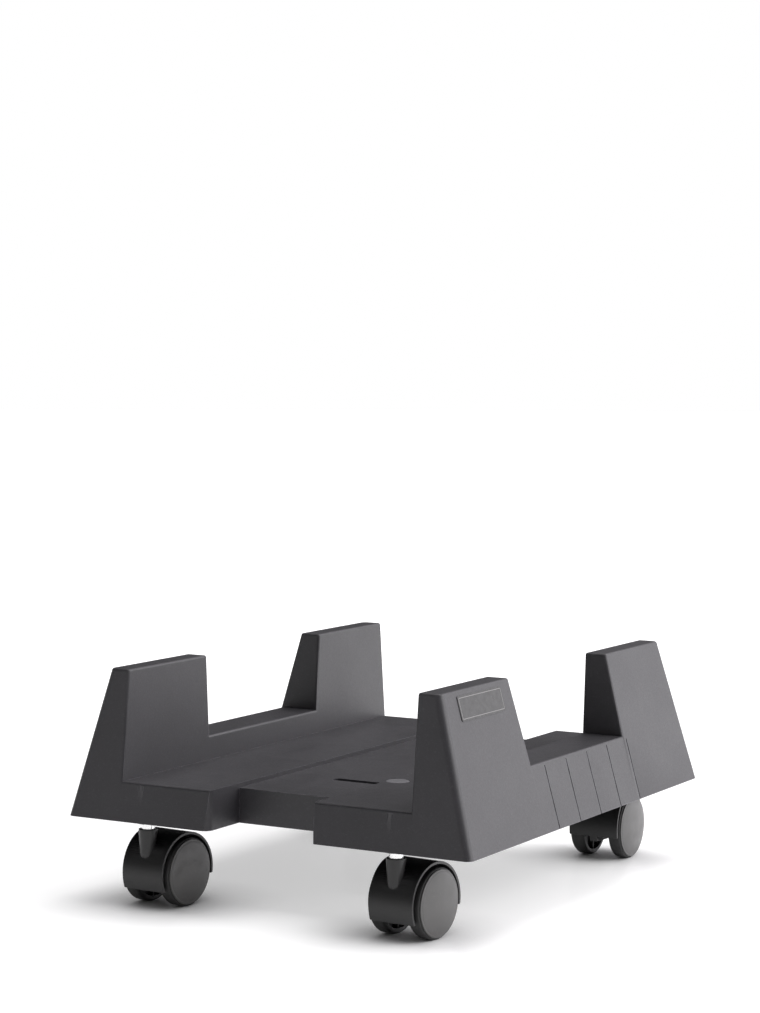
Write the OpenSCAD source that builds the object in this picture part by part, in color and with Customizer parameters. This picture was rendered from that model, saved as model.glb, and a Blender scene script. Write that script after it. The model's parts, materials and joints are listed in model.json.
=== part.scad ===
// Stand on castors for a desktop computer tower: two moulded halves that slide together to set the width,
// a hand-tightened clamp at the front and at the back, and four 40 mm twin-wheel castors.
// Units are millimetres. The origin is on the floor under the centre of the stand, +X to the right,
// +Y to the back and +Z up.

/* [Stand] */
// Clear width between the left and right pillars
inner_w = 190; // [180:1:200]
// Length of the stand at its foot, front to back
stand_l = 312; // [304:2:330]
// Height of the deck above the underside
deck_h = 23; // [22:0.5:26]
// Height of the low wall between two pillars, above the underside
ledge_h = 37.8; // [34:0.2:44]
// Height of the pillars above the underside
pillar_h = 87.1; // [75:0.1:100]
// Thickness of a pillar at its top, side to side
pillar_top_w = 13.8; // [12:0.2:18]
// Length of a pillar at its top, front to back
pillar_top_l = 81.1; // [74:0.1:86]
// How far the outer faces lean in, from foot to pillar top
side_lean = 23.9; // [18:0.1:26]
// How far the front and back faces lean in, from foot to pillar top
end_lean = 9.4; // [6:0.1:11]
// Wall thickness of the mouldings
wall = 2.4; // [2:0.1:2.8]

/* [Width setting] */
// Gap between the front blocks of the two halves
block_gap = 68.8; // [60:0.2:76]
// How far the tongue's front face is set back behind the blocks
tongue_step = 32.2; // [28:0.2:36]
// How far the halves can close up from the modelled width
close_travel = 40; // [20:1:40]
// How far the halves can open out from the modelled width
open_travel = 25; // [10:1:25]
// Distance of each clamp bolt from the middle of the stand, front to back
clamp_y = 70; // [60:1:80]

/* [Castors] */
// Wheel diameter
wheel_d = 40; // [38:0.5:41]
// Distance from the stem's axis back to the axle
trail = 17.1; // [16:0.1:18]
// Distance of each stem from the middle of the stand, side to side
stem_x = 82; // [78:0.5:86]
// Distance of each stem behind the foot of the front or back face
stem_inset = 9.6; // [9:0.1:11]
// Direction of the front left castor
front_left_turn = -3.7; // [-180:0.1:180]
// Direction of the front right castor
front_right_turn = -4.6; // [-180:0.1:180]
// Direction of the rear left castor
rear_left_turn = 176; // [-180:0.1:180]
// Direction of the rear right castor
rear_right_turn = -179; // [-180:0.1:180]

/* [Hidden] */
$fn = 96;

// Colours
shell_black = [0.16, 0.16, 0.165];
hood_black = [0.10, 0.10, 0.105];
wheel_grey = [0.23, 0.23, 0.235];
label_black = [0.08, 0.075, 0.08];
steel = [0.78, 0.79, 0.80];
brass = [0.78, 0.64, 0.36];

// Fits
running_gap = 0.05;
slide_gap = 0.3;
overcut = 1;

// Castor: hood, stem, socket, wheels
wheel_r = wheel_d / 2;
hood_r = wheel_r + 3;
hood_wall = 1.6;
hood_stem_w = 28.8;
hood_trail_w = 32.8;
hood_web = 5;
hood_stem_edge_z = 10.5;
hood_trail_edge_z = 16;
web_trail_edge_z = 12.5;
boss_r = 5.5;
boss_collar = 2;
boss_tip_r = 4.2;
boss_tip_z = 32.4;
boss_top_gap = 4.2;
stem_r = 4;
stem_top = 18.4;
stem_grip = 5.6;
sleeve_r = 6;
sleeve_len = 19.8;
sleeve_flange_r = 7.2;
sleeve_flange_t = 0.8;
ring_z = 12;
ring_h = 2;
ring_r = 4.6;
ring_groove_r = 3.2;
ring_slit = 1.2;
axle_r = 2.5;
axle_head_r = 3.4;
axle_head_t = 0.8;
wheel_in = 8.6;
wheel_out = 16.65;
wheel_rim_t = 3.2;
wheel_hub_r = 5.2;
wheel_hub_in = hood_web / 2 + 0.45;
wheel_hub_out = 14.4;
wheel_disc_in = 12.2;
wheel_disc_out = 14.1;
wheel_ribs = 6;
wheel_rib_t = 1.4;
cap_r = 18.9;
cap_edge_t = 0.7;
cap_dome = 1.5;
cap_plug_l = 2.5;

// Stand
base_z = wheel_r + hood_r + 7.4;
half_l = stand_l / 2;
inner_x = inner_w / 2;
block_x = block_gap / 2;
foot_x = inner_x + pillar_top_w + side_lean;
pillar_foot_spread = 3;
corner_r = 4.5;
edge_r = 1.4;
inner_corner_r = 1.6;
block_end_r = 5;
skirt_reach = foot_x - 15;
tongue_y = half_l - tongue_step;
rib_t = 1.6;
socket_r = 7.6;
socket_y = half_l - stem_inset;
lean_angle = atan(side_lean / pillar_h);
groove_count = 5;
groove_pitch = 28.1;
groove_first = -46.2;
groove_w = 0.9;
groove_depth = 0.7;
dent_r = 2.6;
dent_foot = 9;
dent_depth = 1.1;

// Clamp
clamp_x = 40;
bolt_r = 3;
bolt_head_r = 7;
bolt_head_t = 1.2;
bolt_neck = 6.2;
bolt_end_z = 4;
knob_r = 11;
knob_h = 10.4;
knob_lobes = 6;
knob_lobe_r = 3;
insert_r = 5;
insert_h = 8;
washer_r = 8.5;
washer_t = 1.1;
tongue_top = deck_h - wall - slide_gap;
tongue_t = 2.7;
tongue_tip = clamp_x + open_travel + knob_r + 3.5 + wall;

// Label plate
label_l = 52;
label_h = 14.2;
label_t = 0.35;
label_gap = 0.06;
label_y = -103.8;
label_z = 77.2;

// The outer faces are planes: these give the face's place at height z above the underside.
function side_x(z) = foot_x - side_lean * z / pillar_h;
function end_y(z) = half_l - end_lean * z / pillar_h;
function pillar_back_y(z) =
    half_l - end_lean - pillar_top_l - pillar_foot_spread * (pillar_h - z) / (pillar_h - ledge_h);

// The points of an arc, in order, including both ends.
function arc(cx, cy, r, from, to, steps) =
    [for (i = [0 : steps]) let (a = from + (to - from) * i / steps) [cx + r * cos(a), cy + r * sin(a)]];

// ---------- Moulded halves ----------

// A short disc with a rounded upper edge, for the top of a leaning corner.
module puck(r, round_r) {
    rotate_extrude($fn = 32)
        polygon(concat([[0, 0], [r, 0]], arc(r - round_r, 0, round_r, 0, 90, 4), [[0, round_r]]));
}

// One corner of a pillar, from its foot to its top. The signs say which way the two faces look.
module pillar_corner(r, z_low, z_top, x_low, x_top, y_low, y_top, x_sign, y_sign) {
    translate([x_low - x_sign * r, y_low - y_sign * r, z_low])
        cylinder(r = r, h = 0.01, $fn = 32);
    translate([x_top - x_sign * r, y_top - y_sign * r, z_top])
        puck(r, min(r, edge_r));
}

// A pillar's outside, or with an inset its hollow, on the +X +Y corner of the stand.
module pillar(inset = 0) {
    z_low = inset > 0 ? -overcut : 0;
    z_top = pillar_h - inset - edge_r;
    hull() {
        pillar_corner(corner_r - inset / 2, z_low, z_top, side_x(z_low) - inset, side_x(z_top) - inset,
            end_y(z_low) - inset, end_y(z_top) - inset, 1, 1);
        pillar_corner(inner_corner_r, z_low, z_top, side_x(z_low) - inset, side_x(z_top) - inset,
            pillar_back_y(z_low) + inset, pillar_back_y(z_top) + inset, 1, -1);
        pillar_corner(inner_corner_r, z_low, z_top, inner_x + inset, inner_x + inset,
            end_y(z_low) - inset, end_y(z_top) - inset, -1, 1);
        pillar_corner(inner_corner_r, z_low, z_top, inner_x + inset, inner_x + inset,
            pillar_back_y(z_low) + inset, pillar_back_y(z_top) + inset, -1, -1);
    }
}

// The deck and the front and back blocks: one leaning section pushed out sideways.
module skirt(end_r) {
    intersection() {
        translate([block_x, 0, 0])
            rotate([90, 0, 90])
                linear_extrude(skirt_reach - block_x)
                    polygon(concat(
                        [[-half_l, 0], [half_l, 0]],
                        arc(end_y(deck_h) - edge_r, deck_h - edge_r, edge_r, 0, 90, 4),
                        arc(edge_r - end_y(deck_h), deck_h - edge_r, edge_r, 90, 180, 4)
                    ));
        linear_extrude(deck_h)
            union() {
                translate([block_x + end_r, -half_l])
                    square([skirt_reach, stand_l]);
                translate([block_x, -half_l + end_r])
                    square([skirt_reach, stand_l - 2 * end_r]);
                for (s = [-1, 1])
                    translate([block_x + end_r, s * (half_l - end_r)])
                        circle(r = end_r);
            }
    }
}

// The low wall between the pillars, or with an inset its hollow.
module ledge(inset = 0) {
    z_low = inset > 0 ? -overcut : 0;
    top = ledge_h - inset;
    reach = half_l - pillar_top_l;
    translate([0, reach, 0])
        rotate([90, 0, 0])
            linear_extrude(2 * reach)
                polygon(concat(
                    [[inner_x + inset, z_low], [side_x(z_low) - inset, z_low]],
                    arc(side_x(top) - inset - edge_r, top - edge_r, edge_r, lean_angle, 90, 4),
                    arc(inner_x + inset + edge_r, top - edge_r, edge_r, 90, 180, 4)
                ));
}

// The space under the deck inside one half. The channel for the tongue is open towards the middle or closed.
module under_deck_space(open_channel) {
    channel_x = open_channel ? block_x - overcut : block_x + wall;
    roof = deck_h - wall;
    translate([channel_x, -tongue_y, -overcut])
        cube([skirt_reach - channel_x, 2 * tongue_y, roof + overcut]);
    for (s = [0, 1])
        mirror([0, s, 0])
            translate([block_x + wall, 0, 0])
                rotate([90, 0, 90])
                    linear_extrude(skirt_reach - block_x - wall)
                        polygon([
                            [tongue_y + wall, -overcut], [end_y(-overcut) - wall, -overcut],
                            [end_y(roof) - wall, roof], [tongue_y + wall, roof]
                        ]);
}

// Walls, ribs and castor sockets that stay in the hollow of one half.
module inner_walls() {
    rib_low = 5;
    for (s = [0, 1])
        mirror([0, s, 0]) {
            translate([block_x, tongue_y, -overcut])
                cube([foot_x, wall, deck_h + overcut]);
            translate([stem_x, socket_y, -overcut])
                cylinder(r = socket_r, h = deck_h + overcut);
            for (x = [block_x + 20, inner_x + 12])
                translate([x, tongue_y, rib_low])
                    cube([rib_t, half_l, deck_h - rib_low]);
            translate([inner_x, half_l - end_lean - pillar_top_l / 2, deck_h])
                cube([foot_x, rib_t, pillar_h]);
            translate([inner_x, tongue_y / 4, deck_h])
                cube([foot_x, rib_t, ledge_h]);
        }
    translate([inner_x, -tongue_y, deck_h - wall])
        cube([foot_x, 2 * tongue_y, wall / 2]);
}

// The thin upright grooves on the outer face.
module face_grooves() {
    groove_l = (ledge_h - 1.6) / cos(lean_angle);
    for (i = [0 : groove_count - 1])
        translate([foot_x, groove_first + i * groove_pitch, 0])
            rotate([0, -lean_angle, 0])
                translate([-groove_depth, -groove_w / 2, -overcut])
                    cube([2 * groove_depth, groove_w, groove_l + overcut]);
}

// A shallow flute on the front and back face, in line with each castor socket.
module socket_dents() {
    dent_tilt = atan(dent_depth / (deck_h - dent_foot));
    for (s = [0, 1])
        mirror([0, s, 0])
            translate([stem_x, end_y(dent_foot) + dent_r, dent_foot])
                rotate([atan(end_lean / pillar_h) + dent_tilt, 0, 0])
                    cylinder(r = dent_r, h = deck_h - dent_foot - 1);
}

// One half of the stand without its own fittings, on the +X side.
module half_shell(end_r, open_channel) {
    difference() {
        union() {
            for (s = [0, 1])
                mirror([0, s, 0])
                    pillar();
            skirt(end_r);
            ledge();
        }
        difference() {
            union() {
                for (s = [0, 1])
                    mirror([0, s, 0])
                        pillar(wall);
                under_deck_space(open_channel);
                ledge(wall);
            }
            inner_walls();
        }
        face_grooves();
        socket_dents();
        for (s = [-1, 1])
            translate([stem_x, s * socket_y, -overcut])
                cylinder(r = sleeve_r + running_gap, h = sleeve_len + running_gap + overcut);
    }
}

// The tongue of the left half: a ribbed tray that runs under the right half's deck.
module tongue() {
    side_y = tongue_y - slide_gap;
    slot_from = clamp_x - close_travel;
    slot_to = clamp_x + open_travel;
    slot_r = bolt_r + 0.3;
    difference() {
        translate([-block_x - running_gap, -side_y, 0])
            cube([tongue_tip + block_x + running_gap, 2 * side_y, tongue_top]);
        difference() {
            translate([-block_x, wall - side_y, -overcut])
                cube([tongue_tip + block_x - wall, 2 * (side_y - wall), tongue_top - tongue_t + overcut]);
            tongue_ribs();
        }
        for (s = [-1, 1]) {
            translate([slot_from, s * clamp_y - slot_r, 0])
                cube([slot_to - slot_from, 2 * slot_r, deck_h]);
            for (x = [slot_from, slot_to])
                translate([x, s * clamp_y, 0])
                    cylinder(r = slot_r, h = deck_h);
        }
    }
}

// Ribs under the tongue, kept clear of the knobs' path.
module tongue_ribs() {
    rib_low = 6;
    knob_lane = knob_r + 3;
    for (y = [-clamp_y - knob_lane - rib_t, knob_lane - clamp_y, clamp_y - knob_lane - rib_t, clamp_y + knob_lane])
        translate([-block_x, y, rib_low])
            cube([tongue_tip + block_x, rib_t, tongue_top]);
    for (x = [0, 36])
        translate([x, knob_lane - clamp_y, rib_low])
            cube([rib_t, 2 * (clamp_y - knob_lane), tongue_top]);
}

module left_side() {
    color(shell_black)
        translate([0, 0, base_z])
            union() {
                mirror([1, 0, 0])
                    half_shell(block_end_r, false);
                tongue();
            }
}

module right_side() {
    color(shell_black)
        translate([0, 0, base_z])
            difference() {
                half_shell(edge_r, true);
                for (s = [-1, 1])
                    translate([clamp_x, s * clamp_y, 0]) {
                        translate([0, 0, deck_h - bolt_head_t - running_gap])
                            cylinder(r = bolt_head_r + running_gap, h = bolt_head_t + overcut);
                        translate([-bolt_neck / 2, -bolt_neck / 2, deck_h - wall - overcut])
                            cube([bolt_neck, bolt_neck, wall + overcut]);
                    }
            }
}

// A plain plate on the outer face of the right front pillar.
module label_plate() {
    color(label_black)
        translate([side_x(label_z), label_y, base_z + label_z])
            rotate([0, -lean_angle, 0])
                translate([label_gap, 0, 0])
                    rotate([90, 0, 90])
                        linear_extrude(label_t)
                            square([label_l, label_h], center = true);
}

// ---------- Width clamp ----------

module at_clamps() {
    for (s = [-1, 1])
        translate([clamp_x, s * clamp_y, base_z])
            children();
}

module clamp_bolts() {
    neck = bolt_neck - 2 * running_gap;
    color(steel)
        at_clamps() {
            translate([0, 0, deck_h - bolt_head_t])
                cylinder(r = bolt_head_r, h = bolt_head_t);
            translate([-neck / 2, -neck / 2, deck_h - wall + 0.1])
                cube([neck, neck, wall - bolt_head_t]);
            translate([0, 0, bolt_end_z])
                cylinder(r = bolt_r, h = deck_h - bolt_end_z - bolt_head_t);
        }
}

module clamp_washers() {
    color(steel)
        at_clamps()
            translate([0, 0, tongue_top - tongue_t - washer_t - 0.1])
                difference() {
                    cylinder(r = washer_r, h = washer_t);
                    translate([0, 0, -overcut])
                        cylinder(r = bolt_r + 2 * running_gap, h = washer_t + 2 * overcut);
                }
}

module knob(y) {
    knob_z = tongue_top - tongue_t - washer_t - knob_h - 0.2;
    color(hood_black)
        translate([clamp_x, y, base_z + knob_z])
            difference() {
                union() {
                    cylinder(r = knob_r - knob_lobe_r, h = knob_h);
                    for (i = [0 : knob_lobes - 1])
                        rotate([0, 0, i * 360 / knob_lobes])
                            translate([knob_r - knob_lobe_r, 0, 0])
                                cylinder(r = knob_lobe_r, h = knob_h, $fn = 48);
                }
                translate([0, 0, knob_h - insert_h])
                    cylinder(r = insert_r + running_gap, h = insert_h + overcut);
                translate([0, 0, -overcut])
                    cylinder(r = bolt_r + 0.3, h = knob_h + 2 * overcut);
            }
}

module knob_insert(y) {
    insert_z = tongue_top - tongue_t - washer_t - insert_h - 0.2;
    color(brass)
        translate([clamp_x, y, base_z + insert_z])
            difference() {
                cylinder(r = insert_r, h = insert_h);
                translate([0, 0, -overcut])
                    cylinder(r = bolt_r + running_gap, h = insert_h + 2 * overcut);
            }
}

module front_knob() {
    knob(-clamp_y);
}

module rear_knob() {
    knob(clamp_y);
}

module front_knob_insert() {
    knob_insert(-clamp_y);
}

module rear_knob_insert() {
    knob_insert(clamp_y);
}

// ---------- Castors ----------

// Puts a castor's parts under the socket at the given corner of the stand: the signs are of X and Y.
module at_castor(x_sign, y_sign, turn = 0) {
    translate([x_sign * stem_x, y_sign * socket_y, 0])
        rotate([0, 0, turn])
            children();
}

module front_left() {
    at_castor(-1, -1, front_left_turn)
        children();
}

module front_right() {
    at_castor(1, -1, front_right_turn)
        children();
}

module rear_left() {
    at_castor(-1, 1, rear_left_turn)
        children();
}

module rear_right() {
    at_castor(1, 1, rear_right_turn)
        children();
}

// The socket liner pressed into the moulding, with a groove inside for the grip ring.
module sleeve() {
    color(hood_black)
        translate([0, 0, base_z])
            difference() {
                union() {
                    translate([0, 0, -sleeve_flange_t])
                        cylinder(r = sleeve_flange_r, h = sleeve_flange_t);
                    cylinder(r = sleeve_r, h = sleeve_len);
                }
                translate([0, 0, -sleeve_flange_t - overcut])
                    cylinder(r = stem_r + running_gap, h = sleeve_len + sleeve_flange_t + 2 * overcut);
                translate([0, 0, ring_z - running_gap])
                    cylinder(r = ring_r + running_gap, h = ring_h + 2 * running_gap);
            }
}

// The split ring that holds the stem in its sleeve.
module grip_ring() {
    color(steel)
        translate([0, 0, base_z + ring_z])
            difference() {
                cylinder(r = ring_r, h = ring_h);
                translate([0, 0, -overcut])
                    cylinder(r = ring_groove_r + 2 * running_gap, h = ring_h + 2 * overcut);
                translate([0, -ring_slit / 2, -overcut])
                    cube([2 * ring_r, ring_slit, ring_h + 2 * overcut]);
            }
}

module stem() {
    stem_low = base_z - boss_top_gap - stem_grip;
    tip_r = 1;
    color(steel)
        rotate_extrude()
            polygon([
                [0, stem_low], [stem_r, stem_low],
                [stem_r, base_z + ring_z - 0.2], [ring_groove_r, base_z + ring_z - 0.2],
                [ring_groove_r, base_z + ring_z + ring_h + 0.2], [stem_r, base_z + ring_z + ring_h + 0.2],
                [stem_r, base_z + stem_top - tip_r], [stem_r - tip_r, base_z + stem_top], [0, base_z + stem_top]
            ]);
}

// A cylinder along X between two places on the axle's line.
module across(r, from, to) {
    translate([from, trail, wheel_r])
        rotate([0, 90, 0])
            cylinder(r = r, h = to - from);
}

// Half the hood's width at a place along the trail: it widens away from the stem.
function hood_half_w(y) =
    (hood_stem_w + (hood_trail_w - hood_stem_w) * (y - trail + hood_r) / (2 * hood_r)) / 2;

// Keeps what lies above a slanting lower edge, given its height at the stem end and the trailing end.
module above_edge(stem_z, trail_z) {
    front = trail - hood_r - overcut;
    back = trail + hood_r + overcut;
    intersection() {
        children();
        translate([-hood_trail_w, 0, 0])
            rotate([90, 0, 90])
                linear_extrude(2 * hood_trail_w)
                    polygon([[front, stem_z], [back, trail_z], [back, base_z], [front, base_z]]);
    }
}

// The boss that holds the stem: round at its top, narrowing to a rounded tip on the front of the hood.
module stem_boss() {
    boss_top = base_z - boss_top_gap;
    hull() {
        translate([0, 0, boss_top - boss_collar])
            cylinder(r = boss_r, h = boss_collar, $fn = 48);
        translate([0, boss_tip_r - boss_r + 0.3, boss_tip_z])
            sphere(r = boss_tip_r, $fn = 32);
    }
}

// The hood over both wheels, with a web between them and a boss for the stem.
module hood() {
    front = trail - hood_r - overcut;
    back = trail + hood_r + overcut;
    color(hood_black)
        difference() {
            union() {
                above_edge(hood_stem_edge_z, hood_trail_edge_z)
                    intersection() {
                        difference() {
                            across(hood_r, -hood_trail_w, hood_trail_w);
                            across(hood_r - hood_wall, -hood_trail_w - overcut, hood_trail_w + overcut);
                        }
                        linear_extrude(base_z)
                            polygon([
                                [-hood_half_w(front), front], [hood_half_w(front), front],
                                [hood_half_w(back), back], [-hood_half_w(back), back]
                            ]);
                    }
                above_edge(hood_stem_edge_z, web_trail_edge_z)
                    across(hood_r, -hood_web / 2, hood_web / 2);
                stem_boss();
            }
            across(axle_r + running_gap, -hood_trail_w, hood_trail_w);
            translate([0, 0, base_z - boss_top_gap - stem_grip])
                cylinder(r = stem_r + running_gap, h = stem_grip + overcut);
        }
}

module axle() {
    head_in = wheel_hub_out + 0.2;
    color(steel) {
        across(axle_r, -head_in - axle_head_t, head_in + axle_head_t);
        across(axle_head_r, head_in, head_in + axle_head_t);
        across(axle_head_r, -head_in - axle_head_t, -head_in);
    }
}

// Puts a shape on the axle, with its Z axis pointing out of the +X or -X side of the castor.
module on_axle(side) {
    translate([0, trail, wheel_r])
        rotate([0, side * 90, 0])
            children();
}

// A wheel: tread ring, disc, hub and inner ribs in one moulding, open towards the hood's web.
module wheel(side) {
    round_in = 1.4;
    round_out = 0.9;
    rim_in = wheel_r - wheel_rim_t;
    rib_in = wheel_in + 1.2;
    merge = 0.4;
    color(wheel_grey)
        on_axle(side) {
            rotate_extrude()
                polygon(concat(
                    [
                        [axle_r + running_gap, wheel_hub_in], [wheel_hub_r, wheel_hub_in],
                        [wheel_hub_r, wheel_disc_in], [rim_in, wheel_disc_in], [rim_in, wheel_in]
                    ],
                    arc(wheel_r - round_in, wheel_in + round_in, round_in, -90, 0, 5),
                    arc(wheel_r - round_out, wheel_out - round_out, round_out, 0, 90, 5),
                    [
                        [rim_in, wheel_out], [rim_in, wheel_disc_out], [wheel_hub_r, wheel_disc_out],
                        [wheel_hub_r, wheel_hub_out], [axle_r + running_gap, wheel_hub_out]
                    ]
                ));
            for (i = [0 : wheel_ribs - 1])
                rotate([0, 0, i * 360 / wheel_ribs])
                    translate([wheel_hub_r - merge, -wheel_rib_t / 2, rib_in])
                        cube([rim_in - wheel_hub_r + 2 * merge, wheel_rib_t, wheel_disc_in - rib_in + merge]);
        }
}

// The domed cover over the outer side of a wheel.
module cap(side) {
    seat = wheel_out + running_gap;
    edge = seat + cap_edge_t;
    plug_r = wheel_r - wheel_rim_t - 2 * running_gap;
    plug_in = plug_r - 1.5;
    dome_r = (cap_r * cap_r + cap_dome * cap_dome) / (2 * cap_dome);
    dome_angle = asin(cap_r / dome_r);
    color(wheel_grey)
        on_axle(side)
            rotate_extrude()
                polygon(concat(
                    [[0, seat - 0.3], [plug_in, seat - 0.3], [plug_in, seat - cap_plug_l],
                     [plug_r, seat - cap_plug_l], [plug_r, seat], [cap_r, seat]],
                    arc(0, edge + cap_dome - dome_r, dome_r, 90 - dome_angle, 90, 10)
                ));
}

left_side();
right_side();
label_plate();
clamp_bolts();
clamp_washers();
front_knob();
rear_knob();
front_knob_insert();
rear_knob_insert();
front_left() sleeve();  // fl_sleeve
front_left() grip_ring();  // fl_grip_ring
front_left() stem();  // fl_stem
front_left() hood();  // fl_hood
front_left() axle();  // fl_axle
front_left() wheel(-1);  // fl_left_wheel
front_left() wheel(1);  // fl_right_wheel
front_left() cap(-1);  // fl_left_cap
front_left() cap(1);  // fl_right_cap
front_right() sleeve();  // fr_sleeve
front_right() grip_ring();  // fr_grip_ring
front_right() stem();  // fr_stem
front_right() hood();  // fr_hood
front_right() axle();  // fr_axle
front_right() wheel(-1);  // fr_left_wheel
front_right() wheel(1);  // fr_right_wheel
front_right() cap(-1);  // fr_left_cap
front_right() cap(1);  // fr_right_cap
rear_left() sleeve();  // rl_sleeve
rear_left() grip_ring();  // rl_grip_ring
rear_left() stem();  // rl_stem
rear_left() hood();  // rl_hood
rear_left() axle();  // rl_axle
rear_left() wheel(-1);  // rl_left_wheel
rear_left() wheel(1);  // rl_right_wheel
rear_left() cap(-1);  // rl_left_cap
rear_left() cap(1);  // rl_right_cap
rear_right() sleeve();  // rr_sleeve
rear_right() grip_ring();  // rr_grip_ring
rear_right() stem();  // rr_stem
rear_right() hood();  // rr_hood
rear_right() axle();  // rr_axle
rear_right() wheel(-1);  // rr_left_wheel
rear_right() wheel(1);  // rr_right_wheel
rear_right() cap(-1);  // rr_left_cap
rear_right() cap(1);  // rr_right_cap
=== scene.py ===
"""The looks of a wheeled stand for a computer tower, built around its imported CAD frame. Units are metres."""
import json
import math

import bmesh
import bpy
from mathutils import Matrix, Vector


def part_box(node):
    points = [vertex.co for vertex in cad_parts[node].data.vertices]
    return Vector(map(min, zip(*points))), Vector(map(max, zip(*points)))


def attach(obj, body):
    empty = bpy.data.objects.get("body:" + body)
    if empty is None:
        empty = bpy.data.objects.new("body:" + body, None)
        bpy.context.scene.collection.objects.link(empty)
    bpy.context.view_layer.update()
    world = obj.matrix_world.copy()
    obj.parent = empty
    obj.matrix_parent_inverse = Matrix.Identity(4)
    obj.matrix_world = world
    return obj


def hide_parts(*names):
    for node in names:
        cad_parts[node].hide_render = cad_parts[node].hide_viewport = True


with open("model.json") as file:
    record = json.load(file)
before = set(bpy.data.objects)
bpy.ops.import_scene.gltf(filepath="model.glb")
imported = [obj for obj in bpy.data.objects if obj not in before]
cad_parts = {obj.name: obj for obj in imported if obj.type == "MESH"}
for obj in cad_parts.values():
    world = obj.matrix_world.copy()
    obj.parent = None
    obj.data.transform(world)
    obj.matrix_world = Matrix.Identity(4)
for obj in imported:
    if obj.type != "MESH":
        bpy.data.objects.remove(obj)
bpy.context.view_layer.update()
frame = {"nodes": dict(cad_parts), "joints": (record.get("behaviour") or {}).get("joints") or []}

MM = 0.001
CASTORS = ("fl", "fr", "rl", "rr")
WHEEL_SIDES = ("left", "right")
WHEEL_RIBS = 6
ON_AXIS = 1e-7
JOINTS = {joint["name"]: joint for joint in frame["joints"]}


# ---------- Mesh helpers ----------

def arc(centre_r, centre_z, radius, start, end, steps):
    """Points of an arc in a (radius, height) outline, angles in degrees."""
    points = []
    for i in range(steps + 1):
        angle = math.radians(start + (end - start) * i / steps)
        points.append((centre_r + radius * math.cos(angle), centre_z + radius * math.sin(angle)))
    return points


def rounded(corners, steps=4):
    """An outline with each (x, y, radius) corner turned into an arc."""
    points = []
    count = len(corners)
    for i, (x, y, radius) in enumerate(corners):
        here = Vector((x, y))
        if radius <= 0:
            points.append((x, y))
            continue
        before = (Vector(corners[i - 1][:2]) - here).normalized()
        after = (Vector(corners[(i + 1) % count][:2]) - here).normalized()
        half_angle = before.angle(after) / 2
        reach = radius / math.tan(half_angle)
        centre = here + (before + after).normalized() * radius / math.sin(half_angle)
        first = here + before * reach - centre
        last = here + after * reach - centre
        for step in range(steps + 1):
            blend = first.lerp(last, step / steps).normalized() * radius
            points.append(tuple(centre + blend))
    return points


def smooth_by_angle(mesh, degrees=32):
    """Smooth shading that stops at edges sharper than the given angle."""
    mesh.shade_smooth()
    mesh.set_sharp_from_angle(angle=math.radians(degrees))


def mesh_from(name, bm):
    """Turns a bmesh into a finished mesh with outward normals."""
    bmesh.ops.recalc_face_normals(bm, faces=bm.faces)
    mesh = bpy.data.meshes.new(name)
    bm.to_mesh(mesh)
    bm.free()
    smooth_by_angle(mesh)
    return mesh


def lathe(name, outline, segments, radius_at=None):
    """Turns a closed (radius, height) outline about Z. radius_at may change a radius with the angle."""
    bm = bmesh.new()
    rings = []
    for r, z in outline:
        if r < ON_AXIS:
            rings.append([bm.verts.new((0, 0, z))])
            continue
        ring = []
        for i in range(segments):
            angle = math.tau * i / segments
            reach = radius_at(r, z, angle) if radius_at else r
            ring.append(bm.verts.new((reach * math.cos(angle), reach * math.sin(angle), z)))
        rings.append(ring)
    for i, ring in enumerate(rings):
        other = rings[(i + 1) % len(rings)]
        if len(ring) == 1 and len(other) == 1:
            continue
        for k in range(segments):
            n = (k + 1) % segments
            if len(ring) == 1:
                bm.faces.new((ring[0], other[k], other[n]))
            elif len(other) == 1:
                bm.faces.new((ring[k], ring[n], other[0]))
            else:
                bm.faces.new((ring[k], ring[n], other[n], other[k]))
    return mesh_from(name, bm)


def softened(name, node, to_local, width, least_angle=28, segments=2):
    """A copy of a CAD node's shape with its outer edges rounded off."""
    weld = 0.004 * MM
    flat_angle = math.radians(0.4)
    bm = bmesh.new()
    bm.from_mesh(frame["nodes"][node].data)
    bm.transform(to_local)
    bmesh.ops.remove_doubles(bm, verts=bm.verts, dist=weld)
    bmesh.ops.dissolve_limit(bm, angle_limit=flat_angle, verts=bm.verts, edges=bm.edges)
    bmesh.ops.recalc_face_normals(bm, faces=bm.faces)
    sharp = [
        edge for edge in bm.edges
        if len(edge.link_faces) == 2 and edge.is_convex
        and edge.calc_face_angle() > math.radians(least_angle)
    ]
    bmesh.ops.bevel(
        bm, geom=sharp, offset=width, offset_type="OFFSET", segments=segments, profile=0.5,
        affect="EDGES", clamp_overlap=True,
    )
    return mesh_from(name, bm)


def joined(name, base, tool):
    """The union of two closed meshes."""
    solids = [bpy.data.objects.new(mesh.name, mesh) for mesh in (base, tool)]
    for solid in solids:
        bpy.context.scene.collection.objects.link(solid)
    union = solids[0].modifiers.new("union", "BOOLEAN")
    union.operation = "UNION"
    union.solver = "EXACT"
    union.object = solids[1]
    evaluated = solids[0].evaluated_get(bpy.context.evaluated_depsgraph_get())
    mesh = bpy.data.meshes.new_from_object(evaluated)
    for solid in solids:
        bpy.data.objects.remove(solid)
    mesh.name = name
    smooth_by_angle(mesh)
    return mesh


def even_shading(obj):
    """Lets large flat faces stay flat while the rounded edges between them shade smoothly."""
    modifier = obj.modifiers.new("even_shading", "WEIGHTED_NORMAL")
    modifier.keep_sharp = True


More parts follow.
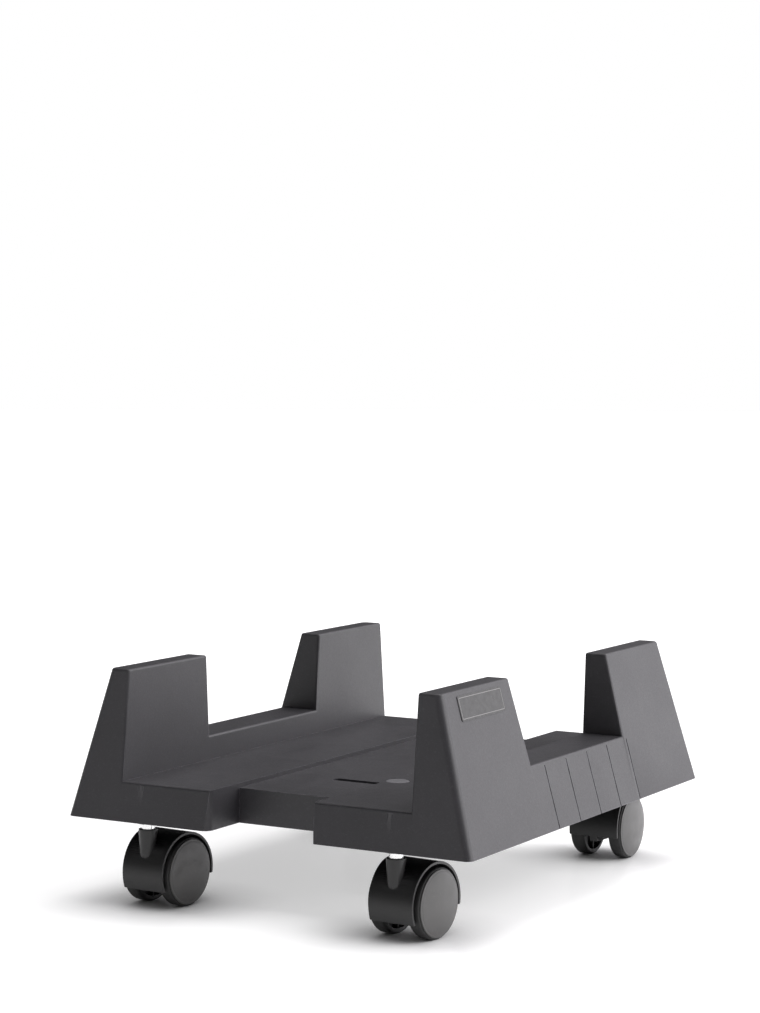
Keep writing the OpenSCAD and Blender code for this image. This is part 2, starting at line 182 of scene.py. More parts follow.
def piece(name, mesh, body, *nodes, material, matrix=None, slot=None):
    """Puts a mesh in the scene as a piece that rides on a body and stands for the given CAD nodes."""
    made = bpy.data.objects.new(name, mesh)
    bpy.context.scene.collection.objects.link(made)
    if matrix is not None:
        made.matrix_world = matrix
    if not mesh.materials:
        mesh.materials.append(material)
    even_shading(made)
    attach(made, body)
    if nodes:
        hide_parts(*nodes)


# ---------- Materials ----------

MAP_RANGE_INPUTS = ("From Min", "From Max", "To Min", "To Max")


class Shader:
    """One material's node tree, built up a node at a time around a Principled BSDF."""

    def __init__(self, name):
        self.material = bpy.data.materials.new(name)
        # Blender numbers a name that the frame already uses, so the slot's own name is kept beside it.
        self.material["slot"] = name
        self.material.use_nodes = True
        self.tree = self.material.node_tree
        self.tree.nodes.clear()
        self.surface = self.node("ShaderNodeBsdfPrincipled")
        output = self.node("ShaderNodeOutputMaterial")
        self.tree.links.new(self.surface.outputs[0], output.inputs["Surface"])
        self.place = self.node("ShaderNodeTexCoord").outputs["Object"]

    def node(self, kind, **settings):
        made = self.tree.nodes.new(kind)
        for key, value in settings.items():
            setattr(made, key, value)
        return made

    def put(self, socket, value):
        """Links an output to a socket, or sets the socket's own value."""
        if isinstance(value, bpy.types.NodeSocket):
            self.tree.links.new(value, socket)
        else:
            socket.default_value = value

    def set(self, **values):
        """Sets the surface's inputs, with _ in place of a space."""
        for key, value in values.items():
            self.put(self.surface.inputs[key.replace("_", " ")], value)

    def stretched(self, x, y, z):
        """The object's coordinates, scaled along each axis."""
        mapping = self.node("ShaderNodeMapping")
        self.put(mapping.inputs["Vector"], self.place)
        self.put(mapping.inputs["Scale"], (x, y, z))
        return mapping.outputs[0]

    def noise(self, size, detail=2.0, rough=0.5, place=None):
        """Noise whose blotches are about size metres across, from 0 to 1."""
        made = self.node("ShaderNodeTexNoise")
        self.put(made.inputs["Vector"], place or self.place)
        self.put(made.inputs["Scale"], 1 / size)
        self.put(made.inputs["Detail"], detail)
        self.put(made.inputs["Roughness"], rough)
        return made.outputs["Fac"]

    def cells(self, size):
        """Distance to the middle of the nearest cell, for cells about size metres across."""
        made = self.node("ShaderNodeTexVoronoi", feature="F1")
        self.put(made.inputs["Vector"], self.place)
        self.put(made.inputs["Scale"], 1 / size)
        return made.outputs["Distance"]

    def remap(self, value, low, high, to_low=0.0, to_high=1.0):
        made = self.node("ShaderNodeMapRange")
        self.put(made.inputs["Value"], value)
        for key, number in zip(MAP_RANGE_INPUTS, (low, high, to_low, to_high)):
            self.put(made.inputs[key], number)
        return made.outputs["Result"]

    def math(self, operation, a, b=0.0):
        made = self.node("ShaderNodeMath", operation=operation)
        self.put(made.inputs[0], a)
        self.put(made.inputs[1], b)
        return made.outputs[0]

    def blend(self, share, a, b):
        """Mixes two colours. A Mix node's colour sockets are inputs 6 and 7 and output 2."""
        made = self.node("ShaderNodeMix", data_type="RGBA")
        self.put(made.inputs["Factor"], share)
        self.put(made.inputs[6], a)
        self.put(made.inputs[7], b)
        return made.outputs[2]

    def bump(self, height, distance, strength=1.0, below=None):
        made = self.node("ShaderNodeBump")
        self.put(made.inputs["Height"], height)
        self.put(made.inputs["Distance"], distance)
        self.put(made.inputs["Strength"], strength)
        if below is not None:
            self.put(made.inputs["Normal"], below)
        return made.outputs[0]

    def edges(self, width):
        """1 along edges and corners, 0 on flat stretches."""
        flat_cosine = 0.995
        edge_cosine = 0.86
        bevel = self.node("ShaderNodeBevel", samples=6)
        self.put(bevel.inputs["Radius"], width)
        flat = self.node("ShaderNodeNewGeometry").outputs["Normal"]
        dot = self.node("ShaderNodeVectorMath", operation="DOT_PRODUCT")
        self.put(dot.inputs[0], bevel.outputs[0])
        self.put(dot.inputs[1], flat)
        return self.remap(dot.outputs["Value"], flat_cosine, edge_cosine)

    def facing_up(self):
        """1 where a surface faces up, 0 where it is upright or faces down."""
        axes = self.node("ShaderNodeSeparateXYZ")
        self.put(axes.inputs[0], self.node("ShaderNodeNewGeometry").outputs["Normal"])
        return self.remap(axes.outputs["Z"], 0.35, 1.0)


def grey(level, warmth=0.0):
    """A linear grey, a little warmer, or cooler with a trace of violet."""
    green = level * (1 - max(0.0, -warmth) * 0.6)
    return (level * (1 + max(0.0, warmth)), green, level * (1 - warmth), 1.0)


def moulded_plastic(name, tone, roughness, grain, grain_depth, highlight_and_wear=1.0, warmth=-0.02, dust=0.0):
    """Injection-moulded plastic: eroded grain, mottled sheen, edges lightened by a painted highlight that also
    stands for rubbing, and a little settled dust.
    """
    s = Shader(name)
    cloud = s.noise(28 * MM, detail=3)
    fleck = s.noise(1.1 * MM, detail=3, rough=0.6)
    speckle = s.remap(s.noise(grain * 1.6, detail=1), 0.58, 0.74)
    edge = s.math("MULTIPLY", s.edges(0.7 * MM), s.remap(s.noise(5 * MM, detail=4), 0.3, 0.62))
    base = s.blend(cloud, grey(tone * 0.8, warmth), grey(tone * 1.2, warmth))
    base = s.blend(s.math("MULTIPLY", speckle, 0.3), base, grey(tone * 2.4, warmth))
    # Edges are lightened towards five times the tone: a painted highlight along the rounded edges, partly
    # standing for rubbing.
    base = s.blend(s.math("MULTIPLY", edge, 0.5 * highlight_and_wear), base, grey(tone * 5, warmth))
    settled = s.math("MULTIPLY", s.facing_up(), s.remap(s.noise(9 * MM, detail=6, rough=0.7), 0.42, 0.75))
    base = s.blend(s.math("MULTIPLY", settled, dust), base, grey(0.32, 0.03))
    rough = s.remap(fleck, 0.25, 0.75, roughness - 0.05, roughness + 0.06)
    rough = s.math("ADD", rough, s.math("MULTIPLY", s.remap(cloud, 0.3, 0.7), 0.05))
    rough = s.math("SUBTRACT", rough, s.math("MULTIPLY", edge, 0.14 * highlight_and_wear))
    coarse = s.bump(s.noise(30 * MM, detail=2), 0.3 * MM, 0.6)
    leather = s.bump(s.noise(2.4 * MM, detail=3, rough=0.6), 0.05 * MM, 0.7, below=coarse)
    pits = s.bump(s.cells(grain), grain_depth, 0.8, below=leather)
    fine = s.bump(s.noise(grain * 0.55, detail=2), grain_depth * 0.5, 0.7, below=pits)
    s.set(Base_Color=base, Roughness=rough, Normal=fine, IOR=1.5)
    return s.material


def turned_plastic(name, tone, roughness, warmth=0.0):
    """Satin plastic moulded in a turned tool: faint rings about the axle over a soft mottle."""
    s = Shader(name)
    cloud = s.noise(9 * MM, detail=4)
    scuff = s.remap(s.noise(2.2 * MM, detail=5, rough=0.65, place=s.stretched(1, 1, 4)), 0.56, 0.72)
    edge = s.math("MULTIPLY", s.edges(0.5 * MM), s.remap(s.noise(3 * MM, detail=4), 0.3, 0.65))
    base = s.blend(cloud, grey(tone * 0.72, warmth), grey(tone * 1.28, warmth))
    base = s.blend(s.math("MULTIPLY", scuff, 0.4), base, grey(tone * 1.9, warmth))
    # Edges are lightened towards 2.2 times the tone: a painted highlight along the rounded edges.
    base = s.blend(s.math("MULTIPLY", edge, 0.4), base, grey(tone * 2.2, warmth))
    axes = s.node("ShaderNodeSeparateXYZ")
    s.put(axes.inputs[0], s.place)
    radius = s.math("SQRT", s.math("ADD", s.math("POWER", axes.outputs["X"], 2.0),
                                   s.math("POWER", axes.outputs["Y"], 2.0)))
    rings = s.math("SINE", s.math("MULTIPLY", radius, math.tau / (0.35 * MM)))
    turned = s.bump(rings, 0.0012 * MM, 0.5)
    fine = s.bump(s.noise(0.35 * MM, detail=2), 0.012 * MM, 0.7, below=turned)
    rough = s.remap(cloud, 0.3, 0.7, roughness - 0.06, roughness + 0.1)
    rough = s.math("ADD", rough, s.math("MULTIPLY", scuff, 0.08))
    s.set(Base_Color=base, Roughness=rough, Normal=fine, IOR=1.5)
    return s.material


def plated_steel(name, tone, roughness, warmth=0.0):
    """Plated steel: bright, with fine scratches around and a slight bloom."""
    s = Shader(name)
    cloud = s.noise(4 * MM, detail=4)
    scratch = s.noise(0.3 * MM, detail=3, place=s.stretched(0.4, 0.4, 6))
    base = s.blend(cloud, grey(tone * 0.88, warmth), grey(tone, warmth))
    rough = s.math("ADD", s.remap(scratch, 0.3, 0.7, roughness - 0.05, roughness + 0.08),
                   s.math("MULTIPLY", cloud, 0.06))
    s.set(Base_Color=base, Metallic=1.0, Roughness=rough, Normal=s.bump(scratch, 0.004 * MM, 0.6))
    return s.material


def brass_metal(name):
    """Turned brass, a little dulled."""
    s = Shader(name)
    cloud = s.noise(2.5 * MM, detail=4)
    base = s.blend(cloud, (0.46, 0.30, 0.11, 1), (0.72, 0.52, 0.22, 1))
    turned = s.noise(0.25 * MM, detail=2, place=s.stretched(0.3, 0.3, 8))
    s.set(Base_Color=base, Metallic=1.0, Roughness=s.remap(cloud, 0.3, 0.7, 0.28, 0.42),
          Normal=s.bump(turned, 0.004 * MM, 0.6))
    return s.material


def label_film(name, tone, roughness):
    """A printed film: smooth, faintly rippled, with tiny dust specks."""
    s = Shader(name)
    ripple = s.bump(s.noise(7 * MM, detail=1), 0.05 * MM, 0.5)
    peel = s.bump(s.noise(0.6 * MM, detail=2), 0.006 * MM, 0.6, below=ripple)
    specks = s.remap(s.noise(0.5 * MM, detail=2), 0.68, 0.76)
    base = s.blend(s.noise(12 * MM, detail=2), grey(tone * 0.85, 0.03), grey(tone * 1.15, 0.03))
    base = s.blend(s.math("MULTIPLY", specks, 0.3), base, grey(0.3))
    rough = s.remap(s.noise(3 * MM, detail=3), 0.3, 0.7, roughness - 0.05, roughness + 0.08)
    s.set(Base_Color=base, Roughness=rough, Normal=peel, IOR=1.5)
    return s.material


# Each material is named after its pieces' slot in the record.
SHELL = moulded_plastic(
    "moulding", tone=0.022, roughness=0.45, grain=0.55 * MM, grain_depth=0.04 * MM,
    warmth=-0.09, highlight_and_wear=1.6, dust=0.04,
)
HOOD = moulded_plastic(
    "hood_plastic", tone=0.008, roughness=0.40, grain=0.3 * MM, grain_depth=0.012 * MM, highlight_and_wear=0.7,
)
KNOB = moulded_plastic("knob_plastic", tone=0.016, roughness=0.42, grain=0.35 * MM, grain_depth=0.02 * MM)
TREAD = turned_plastic("wheel_plastic", tone=0.009, roughness=0.56)
CAP = turned_plastic("cap_plastic", tone=0.05, roughness=0.4, warmth=0.03)
BRIGHT_STEEL = plated_steel("bright_steel", tone=0.82, roughness=0.16)
ZINC_STEEL = plated_steel("zinc_steel", tone=0.34, roughness=0.4, warmth=-0.03)
BRASS = brass_metal("brass")
LABEL = label_film("label", tone=0.010, roughness=0.42)
LABEL_LINE = label_film("label_line", tone=0.15, roughness=0.4)


# ---------- Moulded halves and label ----------

def moulded_halves():
    for side in ("left", "right"):
        node = side + "_side"
        shell = softened(side + "_half_shell", node, Matrix.Identity(4), 0.4 * MM)
        piece(side + "_half_shell", shell, side + "_half", node, material=SHELL)


def slab(name, outline, low, high, edge, hole=None):
    """A flat plate between two x places, its front edge chamfered. A hole makes it a frame."""
    bm = bmesh.new()
    middle = sum((Vector(p) for p in outline), Vector((0, 0))) / len(outline)

    def ring(points, x, inset=0.0):
        made = []
        for p in points:
            away = (Vector(p) - middle).normalized() * inset
            made.append(bm.verts.new((x, p[0] - away.x, p[1] - away.y)))
        return made

    def skirt(one, two):
        for i in range(len(one)):
            j = (i + 1) % len(one)
            bm.faces.new((one[i], one[j], two[j], two[i]))

    rings = [ring(outline, low), ring(outline, high - edge), ring(outline, high, edge)]
    for one, two in zip(rings, rings[1:]):
        skirt(one, two)
    if hole is None:
        bm.faces.new(rings[0])
        bm.faces.new(rings[-1])
    else:
        inner = [ring(hole, low), ring(hole, high - edge), ring(hole, high, -edge)]
        for one, two in zip(inner, inner[1:]):
            skirt(one, two)
        skirt(rings[0], inner[0])
        skirt(rings[-1], inner[-1])
    return mesh_from(name, bm)


def box_outline(half_y, half_z, radius):
    """A rectangle about the origin with rounded corners."""
    corners = ((-1, -1), (1, -1), (1, 1), (-1, 1))
    return rounded([(y * half_y, z * half_z, radius) for y, z in corners], steps=5)


def label():
    """A plain dark plate with a thin pale border line, on the right front pillar."""
    mesh = frame["nodes"]["label_plate"].data
    facing = max(mesh.polygons, key=lambda p: p.area).normal.copy()
    if facing.x < 0:
        facing.negate()
    along = Vector((0, 1, 0))
    up = facing.cross(along)
    low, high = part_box("label_plate")
    matrix = Matrix((facing, along, up)).transposed().to_4x4()
    matrix.translation = (low + high) / 2
    local = matrix.inverted()
    places = [local @ v.co for v in mesh.vertices]
    thick, half_y, half_z = (max(p[i] for p in places) for i in range(3))
    plate = slab("label_panel", box_outline(half_y, half_z, 1.2 * MM), -thick, thick, 0.08 * MM)
    piece("label_panel", plate, "right_half", "label_plate", matrix=matrix, material=LABEL)
    inset = 1.1 * MM
    line = 0.35 * MM
    raised = 0.03 * MM
    border = slab(
        "label_border", box_outline(half_y - inset, half_z - inset, 0.8 * MM), thick, thick + raised,
        0.01 * MM, hole=box_outline(half_y - inset - line, half_z - inset - line, 0.5 * MM),
    )
    piece("label_border", border, "right_half", matrix=matrix, material=LABEL_LINE, slot="label")


# ---------- Width clamp ----------

def threaded_rod(name, radius, low, high, pitch, depth, segments=40):
    """A rod with a helical thread that fades out at both closed ends."""
    steps_a_turn = 8
    fade_steps = 6
    lead_in = 0.4 * MM
    bm = bmesh.new()
    steps = max(2, round((high - low) / pitch * steps_a_turn))
    rings = []
    for k in range(steps + 1):
        z = low + (high - low) * k / steps
        fade = min(1.0, k / fade_steps, (steps - k) / fade_steps)
        ring = []
        for i in range(segments):
            turn = i / segments
            wave = abs(((z / pitch - turn) % 1.0) * 2 - 1)
            r = radius - depth * wave * fade - (lead_in if k == 0 else 0)
            angle = math.tau * turn
            ring.append(bm.verts.new((r * math.cos(angle), r * math.sin(angle), z)))
        rings.append(ring)
    for one, two in zip(rings, rings[1:]):
        for i in range(segments):
            j = (i + 1) % segments
            bm.faces.new((one[i], one[j], two[j], two[i]))
    bm.faces.new(rings[0])
    bm.faces.new(rings[-1])
    return mesh_from(name, bm)


def clamps():
    bolt_low, bolt_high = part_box("clamp_bolts")
    washer_low, washer_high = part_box("clamp_washers")
    head_r = (bolt_high.x - bolt_low.x) / 2
    head_t = 1.2 * MM
    head_chamfer = 0.3 * MM
    head_round = 0.6 * MM
    shank_r = 3 * MM
    top = bolt_high.z
    head = lathe("bolt_head", [
        (0, top - head_t), (head_r - head_chamfer, top - head_t), (head_r, top - head_t + head_chamfer),
        *arc(head_r - head_round, top - head_round, head_round, 0, 80, 5), (0, top),
    ], segments=72)
    shank = lathe("bolt_shank", [
        (0, washer_low.z), (shank_r, washer_low.z), (shank_r, top - head_t), (0, top - head_t),
    ], segments=48)
    thread = threaded_rod(
        "bolt_thread", shank_r, bolt_low.z, washer_low.z, pitch=1 * MM, depth=0.45 * MM,
    )
    washer_r = (washer_high.x - washer_low.x) / 2
    washer_bore = 3.3 * MM
    chamfer = 0.2 * MM
    edge_round = 0.35 * MM
    washer = lathe("clamp_washer", [
        (washer_bore, washer_low.z), (washer_r - chamfer, washer_low.z), (washer_r, washer_low.z + chamfer),
        *arc(washer_r - edge_round, washer_high.z - edge_round, edge_round, 0, 90, 4),
        (washer_bore, washer_high.z),
    ], segments=72)
    for end in ("front", "rear"):
        x, y, _ = JOINTS[end + "_knob_turn"]["pos_m"]
        spot = Matrix.Translation((x, y, 0))
        for mesh in (head, shank, thread):
            piece(f"{end}_{mesh.name}", mesh, "right_half", "clamp_bolts", matrix=spot, material=ZINC_STEEL)
        piece(end + "_clamp_washer", washer, "right_half", "clamp_washers", matrix=spot, material=ZINC_STEEL)
        clamp_knob(end, spot)


def clamp_knob(end, spot):
    """A knob with six soft lobes and a brass insert."""
    low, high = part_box(end + "_knob")
    outer = (high.x - low.x) / 2
    waist = outer - 2.6 * MM
    lobes = 6
    lobe_fullness = 0.8
    hub = 5.05 * MM
    bore = 3.35 * MM
    insert_low, insert_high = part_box(end + "_knob_insert")

    def lobed(r, z, angle):
        if r <= hub:
            return r
        lobe = 0.5 + 0.5 * math.cos(lobes * angle)
        return r - (outer - waist) * (1 - lobe ** lobe_fullness)

    round_r = 1.2 * MM
    recess = 0.6 * MM
    body = lathe(end + "_clamp_knob", [
        (bore, low.z + recess), (hub, low.z + recess), (hub + 0.5 * MM, low.z),
        *arc(outer - round_r, low.z + round_r, round_r, -90, 0, 4),
        *arc(outer - round_r, high.z - round_r, round_r, 0, 90, 4),
        (hub, high.z), (hub, insert_low.z), (bore, insert_low.z),
    ], segments=120, radius_at=lobed)
    piece(end + "_clamp_knob", body, end + "_knob", end + "_knob", matrix=spot, material=KNOB)
    insert_r = (insert_high.x - insert_low.x) / 2
    insert_bore = 3.1 * MM
    chamfer = 0.2 * MM
    insert = lathe(end + "_threaded_insert", [
        (insert_bore, insert_low.z), (insert_r - chamfer, insert_low.z), (insert_r, insert_low.z + chamfer),
        (insert_r, insert_high.z - chamfer), (insert_r - chamfer, insert_high.z),
        (insert_bore, insert_high.z),
    ], segments=64)
    piece(end + "_threaded_insert", insert, end + "_knob", end + "_knob_insert", matrix=spot, material=BRASS)


# ---------- Castors ----------

def castor_matrix(corner):
    """From a castor's own frame to the stand's.

    Its origin is on the floor under the stem, X runs along the axle and Y towards the trailing side.
    """
    swivel = JOINTS[corner + "_swivel"]["pos_m"]
    across = Vector(JOINTS[corner + "_left_wheel_spin"]["axis"]).normalized()
    up = Vector((0, 0, 1))
    matrix = Matrix((across, up.cross(across), up)).transposed().to_4x4()
    matrix.translation = (swivel[0], swivel[1], 0)
    return matrix


CASTOR_MATRIX = {corner: castor_matrix(corner) for corner in CASTORS}


def castor_box(part, corner="fl"):
    """(lowest, highest) corner of one castor's part in the castor's own frame."""
    to_local = CASTOR_MATRIX[corner].inverted()
    places = [to_local @ v.co for v in frame["nodes"][f"{corner}_{part}"].data.vertices]
    return Vector(map(min, zip(*places))), Vector(map(max, zip(*places)))


def on_axle(corner, side):
    """Places a lathed shape on a castor's axle, its Z pointing out of that side."""
    low, high = castor_box("right_wheel", corner)
    centre = Matrix.Translation((0, (low.y + high.y) / 2, (low.z + high.z) / 2))
    turn = math.radians(90 if side == "right" else -90)
    return CASTOR_MATRIX[corner] @ centre @ Matrix.Rotation(turn, 4, "Y")


def wheel_mesh():
    """One wheel: a crowned tread ring on a disc and hub, with six ribs in the side that faces the web."""
    low, high = castor_box("right_wheel")
    hub_face, outer = low.x, high.x
    radius = (high.z - low.z) / 2
    bore = 2.6 * MM
    hub = 5.2 * MM
    hub_end = 14.4 * MM
    rim = radius - 3.2 * MM
    inner = 8.6 * MM
    disc_in = 12.2 * MM
    disc_out = 14.1 * MM
    edge_r = radius - 0.12 * MM
    crown_round = 60 * MM
    draft = 0.1 * MM
    ring = lathe("wheel_ring", rounded([
        (bore, hub_face, 0.3 * MM),
        (hub - 0.3 * MM, hub_face, 0.5 * MM),
        (hub, disc_in, 0.8 * MM),
        (rim, disc_in, 0.8 * MM),
        (rim + draft, inner, 0.3 * MM),
        (edge_r, inner, 1.4 * MM),
        (radius, (inner + outer) / 2, crown_round),
        (edge_r, outer, 0.9 * MM),
        (rim + draft, outer, 0.2 * MM),
        (rim, disc_out, 0.5 * MM),
        (hub, disc_out, 0.5 * MM),
        (hub, hub_end, 0.3 * MM),
        (bore, hub_end, 0.2 * MM),
    ]), segments=128)
    merge = 0.4 * MM
    ribs = bmesh.new()
    for i in range(WHEEL_RIBS):
        rib(ribs, i * math.tau / WHEEL_RIBS, hub - merge, rim + merge, inner + 1.2 * MM, disc_in + merge)
    return joined("castor_wheel", ring, mesh_from("wheel_ribs", ribs))


def rib(bm, angle, r_low, r_high, z_low, z_high):
    """Adds one radial rib with a rounded, slightly thinner free edge."""
    foot_half = 0.7 * MM
    tip_half = 0.55 * MM
    tip_round = 0.35 * MM
    section = rounded([
        (-foot_half, z_high, 0), (-tip_half, z_low, tip_round), (tip_half, z_low, tip_round),
        (foot_half, z_high, 0),
    ])
    turn = Matrix.Rotation(angle, 4, "Z")
    ends = [[bm.verts.new(turn @ Vector((r, y, z))) for y, z in section] for r in (r_low, r_high)]
    for i in range(len(section)):
        j = (i + 1) % len(section)
        bm.faces.new((ends[0][i], ends[0][j], ends[1][j], ends[1][i]))
    for end in ends:
        bm.faces.new(end)


def cap_mesh():
    """The domed cover on a wheel's outer side, with a fine step near its edge."""
    low, high = castor_box("right_cap")
    edge_r = (high.z - low.z) / 2
    plug = low.x
    seat = plug + 2.5 * MM
    edge = seat + 0.7 * MM
    dome = high.x - edge
    step_r = edge_r - 1.3 * MM
    step_w = 0.22 * MM
    step_depth = 0.1 * MM

    def dome_at(r):
        return edge + dome * (1 - (r / edge_r) ** 2)

    rings = 16
    crown = [(step_r * i / rings, dome_at(step_r * i / rings)) for i in range(rings - 1, 0, -1)]
    plug_r = edge_r - 2.2 * MM
    return lathe("castor_cap", [
        (0, seat - 0.3 * MM), (plug_r - 1.5 * MM, seat - 0.3 * MM), (plug_r - 1.5 * MM, plug + 0.2 * MM),
        (plug_r - 1.3 * MM, plug), (plug_r - 0.3 * MM, plug), (plug_r, plug + 0.3 * MM),
        (plug_r, seat), (edge_r - 0.15 * MM, seat), (edge_r, seat + 0.15 * MM), (edge_r, edge - 0.3 * MM),
        *arc(edge_r - 0.35 * MM, edge - 0.3 * MM, 0.35 * MM, 10, 78, 3),
        (step_r + step_w, dome_at(step_r + step_w) - step_depth * 0.2),
        (step_r, dome_at(step_r) - step_depth),
        (step_r - step_w, dome_at(step_r - step_w)), *crown, (0, dome_at(0)),
    ], segments=144)


def stem_mesh():
    """The pin in a castor's boss, with its groove for the grip ring and a chamfered tip."""
    low, high = castor_box("stem")
    radius = high.x
    ring_low, ring_high = castor_box("grip_ring")
    neck = 3.2 * MM
    groove_gap = 0.2 * MM
    groove_flare = 0.4 * MM
    tip_round = 1 * MM
    return lathe("castor_stem", [
        (0, low.z), (radius, low.z), (radius, ring_low.z - groove_flare), (neck, ring_low.z - groove_gap),
        (neck, ring_high.z + groove_gap), (radius, ring_high.z + groove_flare), (radius, high.z - 1.1 * MM),
        *arc(radius - tip_round, high.z - tip_round, tip_round, 5, 88, 5), (0, high.z),
    ], segments=64)


def sleeve_mesh():
    """The liner in a castor socket, with a rounded flange."""
    low, high = castor_box("sleeve")
    flange_r = high.x
    sleeve_r = 6 * MM
    bore = 4.06 * MM
    flange_top = low.z + 0.8 * MM
    edge = 0.4 * MM
    mouth = 0.35 * MM
    return lathe("socket_sleeve", [
        (bore + mouth, low.z), *arc(flange_r - edge, low.z + edge, edge, -90, 0, 4),
        (flange_r, flange_top), (sleeve_r, flange_top), (sleeve_r, high.z - edge),
        (sleeve_r - edge, high.z), (bore, high.z), (bore, low.z + mouth),
    ], segments=72)


def castors():
    shapes = {
        "wheel": wheel_mesh(), "cap": cap_mesh(), "stem": stem_mesh(), "sleeve": sleeve_mesh(),
        "hood": softened("castor_hood", "fl_hood", CASTOR_MATRIX["fl"].inverted(), 0.45 * MM, segments=3),
    }
    for corner in CASTORS:
        at = CASTOR_MATRIX[corner]
        body = corner + "_castor"
        home = "left_half" if corner.endswith("l") else "right_half"
        piece(corner + "_socket_sleeve", shapes["sleeve"], home, corner + "_sleeve", matrix=at, material=HOOD)
        piece(corner + "_castor_stem", shapes["stem"], body, corner + "_stem",
              matrix=at, material=BRIGHT_STEEL)
        piece(corner + "_castor_hood", shapes["hood"], body, corner + "_hood", matrix=at, material=HOOD)
        for side in WHEEL_SIDES:
            wheel_body = f"{corner}_{side}_wheel"
            at_wheel = on_axle(corner, side)
            piece(f"{corner}_{side}_tread", shapes["wheel"], wheel_body, f"{corner}_{side}_wheel",
                  matrix=at_wheel, material=TREAD)
            piece(f"{corner}_{side}_wheel_cap", shapes["cap"], wheel_body, f"{corner}_{side}_cap",
                  matrix=at_wheel, material=CAP)
        for part in ("grip_ring", "axle"):
            finish(frame["nodes"][f"{corner}_{part}"], ZINC_STEEL)


def finish(obj, material):
    """Gives a carried-over CAD node its material and smooth shading."""
    obj.data.materials.clear()
    obj.data.materials.append(material)
    smooth_by_angle(obj.data)
    rounding = obj.modifiers.new("rounding", "BEVEL")
    rounding.width = 0.12 * MM
    rounding.segments = 2
    rounding.angle_limit = math.radians(40)
    even_shading(obj)


# ---------- Stage ----------

def floor_material():
    """Glossy pale studio floor that glows and fades to white with distance; near the object its glow is dimmed
    by ambient occlusion, a painted shadow.
    """
    s = Shader("pale_floor")
    place = s.node("ShaderNodeNewGeometry").outputs["Position"]
    away = s.node("ShaderNodeVectorMath", operation="LENGTH")
    s.put(away.inputs[0], place)
    glow = s.remap(away.outputs["Value"], 0.28, 1.1, 0.5, 1.0)
    # Ambient occlusion dims the floor's glow near the object: a painted contact shadow under the castors and
    # the stand.
    open_sky = s.node("ShaderNodeAmbientOcclusion", samples=6)
    s.put(open_sky.inputs["Distance"], 0.05)
    painted_shadow_mask = s.math("POWER", open_sky.outputs["AO"], 2.2)
    haze = s.noise(0.25, detail=2, place=place)
    base = s.blend(haze, grey(0.88, 0.004), grey(0.92, 0.004))
    s.set(Base_Color=base, Roughness=s.remap(haze, 0.3, 0.7, 0.13, 0.19), IOR=1.45,
          Emission_Color=(1, 1, 1, 1), Emission_Strength=s.math("MULTIPLY", glow, painted_shadow_mask))
    return s.material


def floor():
    """A round floor, wide enough that its edge is never seen."""
    bm = bmesh.new()
    bmesh.ops.create_circle(bm, cap_ends=True, segments=96, radius=12)
    made = bpy.data.objects.new("studio_floor", mesh_from("studio_floor", bm))
    bpy.context.scene.collection.objects.link(made)
    made.data.materials.append(floor_material())


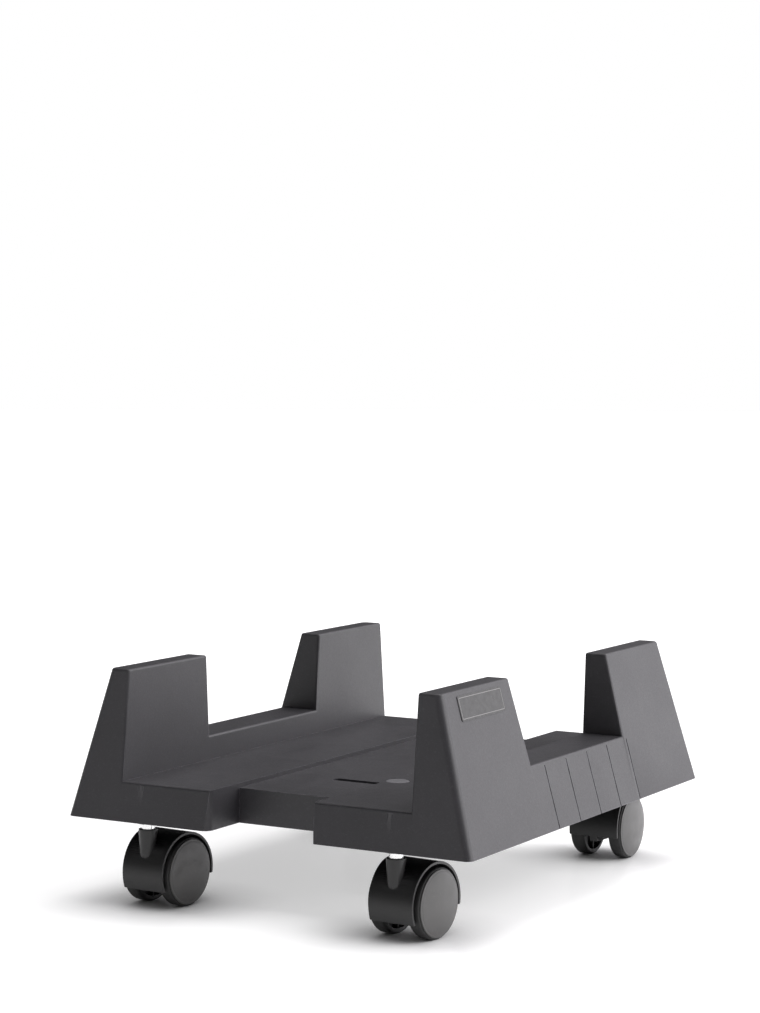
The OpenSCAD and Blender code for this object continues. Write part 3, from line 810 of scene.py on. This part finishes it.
def studio_world():
    """A white room: the camera sees plain white, and the object is lit from behind and from its right."""
    world = bpy.data.worlds.new("studio")
    bpy.context.scene.world = world
    world.use_nodes = True
    tree = world.node_tree
    tree.nodes.clear()

    def node(kind, **settings):
        made = tree.nodes.new(kind)
        for key, value in settings.items():
            setattr(made, key, value)
        return made

    def math_node(operation, a, b):
        made = node("ShaderNodeMath", operation=operation)
        for socket, value in zip(made.inputs, (a, b)):
            if isinstance(value, bpy.types.NodeSocket):
                tree.links.new(value, socket)
            else:
                socket.default_value = value
        return made.outputs[0]

    def lobe(direction, low, high, strength):
        """Light from around one direction, fading with the cosine of the angle to it."""
        dot = node("ShaderNodeVectorMath", operation="DOT_PRODUCT")
        tree.links.new(place, dot.inputs[0])
        dot.inputs[1].default_value = Vector(direction).normalized()
        spread = node("ShaderNodeMapRange", interpolation_type="SMOOTHSTEP")
        tree.links.new(dot.outputs["Value"], spread.inputs["Value"])
        for key, value in zip(MAP_RANGE_INPUTS, (low, high, 0.0, strength)):
            spread.inputs[key].default_value = value
        return spread.outputs["Result"]

    place = node("ShaderNodeTexCoord").outputs["Generated"]
    backdrop = lobe((0.66, 0.72, 0.1), low=0.34, high=0.95, strength=2.25)
    back_wall = lobe((-0.35, 0.9, 0.12), low=0.5, high=0.95, strength=0.05)
    ceiling = lobe((0.2, 0.1, 1), low=0.5, high=1.0, strength=0.6)
    everywhere = 0.035
    level = math_node("ADD", math_node("ADD", backdrop, back_wall), math_node("ADD", ceiling, everywhere))
    light = node("ShaderNodeBackground")
    tree.links.new(level, light.inputs["Strength"])
    white = node("ShaderNodeBackground")
    white.inputs["Strength"].default_value = 1.0
    light.inputs["Color"].default_value = (1.0, 0.98, 1.02, 1)
    white.inputs["Color"].default_value = (1, 1, 1, 1)
    mix = node("ShaderNodeMixShader")
    tree.links.new(node("ShaderNodeLightPath").outputs["Is Camera Ray"], mix.inputs[0])
    tree.links.new(light.outputs[0], mix.inputs[1])
    tree.links.new(white.outputs[0], mix.inputs[2])
    tree.links.new(mix.outputs[0], node("ShaderNodeOutputWorld").inputs["Surface"])


def area_light(name, place, target, size, power):
    data = bpy.data.lights.new(name, "AREA")
    data.shape = "RECTANGLE"
    data.size, data.size_y = size
    data.energy = power
    light = bpy.data.objects.new(name, data)
    bpy.context.scene.collection.objects.link(light)
    light.location = place
    light.rotation_euler = (Vector(target) - Vector(place)).to_track_quat("-Z", "Y").to_euler()
    light.visible_camera = False


def lights():
    area_light("right_softbox", (1.6, 0.5, 0.9), (0, 0, 0.05), size=(1.2, 1.0), power=16)
    area_light("front_softbox", (-0.7, -1.7, 1.1), (0, 0, 0.05), size=(1.2, 0.8), power=1)
    area_light("top_softbox", (0, 0.2, 1.8), (0, 0, 0), size=(1.4, 1.4), power=18)


def camera():
    """A longish lens near floor level, looking from the front right. Angles are in degrees."""
    place = (0.7463, -1.3297, 0.3218)
    azimuth = 29.71
    down = 3.546
    lean = 0.216
    data = bpy.data.cameras.new("camera")
    data.sensor_width = 36
    data.lens = 89.52
    made = bpy.data.objects.new("camera", data)
    bpy.context.scene.collection.objects.link(made)
    made.rotation_mode = "QUATERNION"
    turn = Matrix.Rotation(math.radians(azimuth), 4, "Z")
    tilt = Matrix.Rotation(math.radians(90 - down), 4, "X")
    roll = Matrix.Rotation(math.radians(lean), 4, "Z")
    made.matrix_world = Matrix.Translation(place) @ turn @ tilt @ roll
    bpy.context.scene.camera = made


moulded_halves()
label()
clamps()
castors()
floor()
studio_world()
lights()
camera()
bpy.context.scene.view_settings.view_transform = "Standard"
